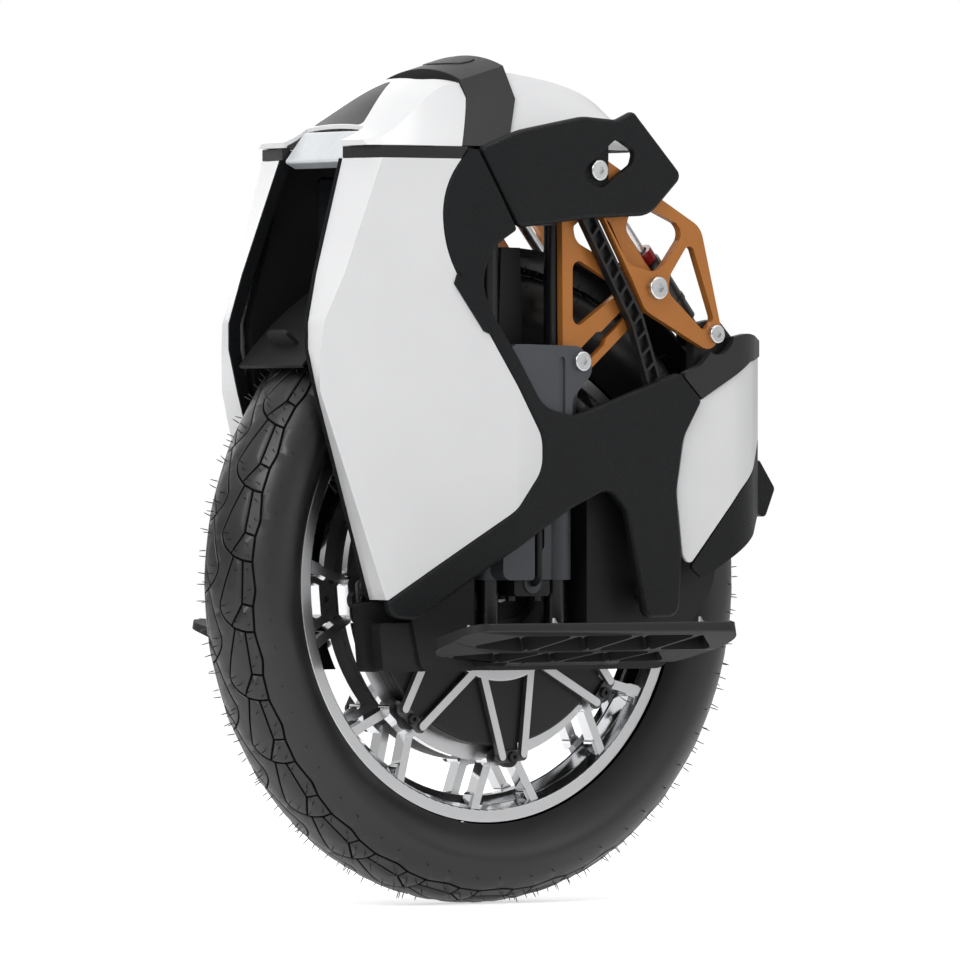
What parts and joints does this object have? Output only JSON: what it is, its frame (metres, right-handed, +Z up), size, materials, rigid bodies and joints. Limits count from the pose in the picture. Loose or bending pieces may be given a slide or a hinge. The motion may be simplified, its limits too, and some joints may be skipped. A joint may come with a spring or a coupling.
{
  "type": "electric unicycle",
  "caption": "Electric unicycle with a hub-motor wheel, linkage suspension on guide tubes, folding pedals and a top lift handle.",
  "frame": {"origin": "on the ground under the axle, where the tyre stands", "axes": "+X forward in the riding direction, +Y to the rider's left, +Z up"},
  "size_m": [0.5086, 0.3516, 0.634],
  "materials": {
    "tyre_rubber": "matt, moulded tread",
    "polished_rim": "polished",
    "machined_face": "machined",
    "black_casing": "satin black",
    "bare_steel": "turned",
    "motor_core": "laminated",
    "slate_metal": "satin anodised",
    "black_tube": "hard anodised",
    "white_panel": "satin",
    "black_panel": "fine grain",
    "grey_trim": "fine grain",
    "dark_housing": "matt",
    "pack_wrap": "film wrapped",
    "copper_link": "copper-coloured anodised",
    "crimson_dial": "glossy anodised",
    "cable_rubber": "matt",
    "lamp_lens": "clear frosted",
    "tail_lens": "tinted",
    "pedal_alloy": "powder coat",
    "stud_steel": "bare"
  },
  "bodies": {
    "chassis": {"left_housing": "dark_housing", "right_housing": "dark_housing", "battery_packs": "pack_wrap", "guide_tubes": "black_tube", "crown": "slate_metal", "left_sill": "black_casing", "right_sill": "black_casing", "pedal_shafts": "bare_steel", "left_frame": "black_panel", "right_frame": "black_panel", "left_wing": "black_panel", "right_wing": "black_panel", "left_front_shell": "white_panel", "right_front_shell": "white_panel", "belt_strips": "grey_trim", "front_cowl": "white_panel", "visor": "grey_trim", "headlight": "lamp_lens", "rear_cowl": "white_panel", "handle": "grey_trim", "controller": "black_casing", "tail_panels": "white_panel", "tail_tub": "grey_trim", "tail_guard": "black_panel", "tail_light": "tail_lens", "brackets": "copper_link", "struts": "black_casing", "link_bolts": "bare_steel"},
    "carriage": {"axle": "slate_metal", "stator": "motor_core", "axle_caps": "black_casing", "cap_bolts": "black_tube", "left_slider": "slate_metal", "right_slider": "slate_metal", "slider_bushes": "grey_trim", "ear_bolts": "bare_steel", "mudguard": "dark_housing", "motor_cable": "cable_rubber"},
    "wheel": {"tyre": "tyre_rubber", "rim": "polished_rim", "motor_shell": "black_casing", "rotor_magnets": "motor_core", "motor_covers": "black_casing", "spiders": "machined_face", "wheel_bolts": "black_casing", "wheel_bearings": "bare_steel", "tyre_valve": "bare_steel"},
    "left_rocker": {"left_rocker": "copper_link"},
    "left_shock_body": {"left_shock_body": "black_tube"},
    "left_shock_shaft": {"left_shock_shaft": "bare_steel"},
    "left_shock_dial": {"left_shock_dial": "crimson_dial"},
    "left_pedal": {"left_pedal": "pedal_alloy", "left_pedal_studs": "stud_steel"},
    "right_rocker": {"right_rocker": "copper_link"},
    "right_shock_body": {"right_shock_body": "black_tube"},
    "right_shock_shaft": {"right_shock_shaft": "bare_steel"},
    "right_shock_dial": {"right_shock_dial": "crimson_dial"},
    "right_pedal": {"right_pedal": "pedal_alloy", "right_pedal_studs": "stud_steel"},
    "handle_button": {"handle_button": "grey_trim"}
  },
  "joints": [
    {"name": "suspension_travel", "type": "slide", "parent": "chassis", "child": "carriage", "axis": [0, 0, 1], "range_m": [0, 0.08], "stiffness_N_per_m": 16000, "springref_m": -0.03},
    {"name": "wheel_spin", "type": "hinge", "parent": "carriage", "child": "wheel", "pos_m": [0, 0, 0.24], "axis": [0, 1, 0], "continuous": true},
    {"name": "left_rocker_pivot", "type": "hinge", "parent": "chassis", "child": "left_rocker", "pos_m": [-0.108, 0.0737, 0.46], "axis": [0, -1, 0], "range_deg": [0, 56.8]},
    {"name": "left_shock_pivot", "type": "hinge", "parent": "chassis", "child": "left_shock_body", "pos_m": [-0.166, 0.058, 0.426], "axis": [0, -1, 0], "range_deg": [0, 29.8]},
    {"name": "left_shaft_pivot", "type": "hinge", "parent": "left_rocker", "child": "left_shock_shaft", "pos_m": [-0.082, 0.058, 0.527], "axis": [0, -1, 0], "range_deg": [-27.2, 0]},
    {"name": "left_dial_turn", "type": "hinge", "parent": "left_shock_body", "child": "left_shock_dial", "pos_m": [-0.11804, 0.058, 0.48366], "axis": [0.6394, 0, 0.7688], "range_deg": [-150, 150]},
    {"name": "left_pedal_fold", "type": "hinge", "parent": "chassis", "child": "left_pedal", "pos_m": [0, 0.102, 0.188], "axis": [1, 0, 0], "range_deg": [0, 68]},
    {"name": "right_rocker_pivot", "type": "hinge", "parent": "chassis", "child": "right_rocker", "pos_m": [-0.108, -0.0737, 0.46], "axis": [0, -1, 0], "range_deg": [0, 56.8]},
    {"name": "right_shock_pivot", "type": "hinge", "parent": "chassis", "child": "right_shock_body", "pos_m": [-0.166, -0.058, 0.426], "axis": [0, -1, 0], "range_deg": [0, 29.8]},
    {"name": "right_shaft_pivot", "type": "hinge", "parent": "right_rocker", "child": "right_shock_shaft", "pos_m": [-0.082, -0.058, 0.527], "axis": [0, -1, 0], "range_deg": [-27.2, 0]},
    {"name": "right_dial_turn", "type": "hinge", "parent": "right_shock_body", "child": "right_shock_dial", "pos_m": [-0.11804, -0.058, 0.48366], "axis": [0.6394, 0, 0.7688], "range_deg": [-150, 150]},
    {"name": "right_pedal_fold", "type": "hinge", "parent": "chassis", "child": "right_pedal", "pos_m": [0, -0.102, 0.188], "axis": [-1, 0, 0], "range_deg": [0, 68]},
    {"name": "handle_button_press", "type": "slide", "parent": "chassis", "child": "handle_button", "axis": [0, 0, -1], "range_m": [0, 0.002], "stiffness_N_per_m": 900, "springref_m": -0.001}
  ],
  "couplings": [
    {"joint": "left_rocker_pivot", "follows": "suspension_travel", "rad_per_m": 12.36},
    {"joint": "left_shock_pivot", "follows": "suspension_travel", "rad_per_m": 6.47},
    {"joint": "left_shaft_pivot", "follows": "suspension_travel", "rad_per_m": -5.89},
    {"joint": "right_rocker_pivot", "follows": "suspension_travel", "rad_per_m": 12.36},
    {"joint": "right_shock_pivot", "follows": "suspension_travel", "rad_per_m": 6.47},
    {"joint": "right_shaft_pivot", "follows": "suspension_travel", "rad_per_m": -5.89}
  ]
}
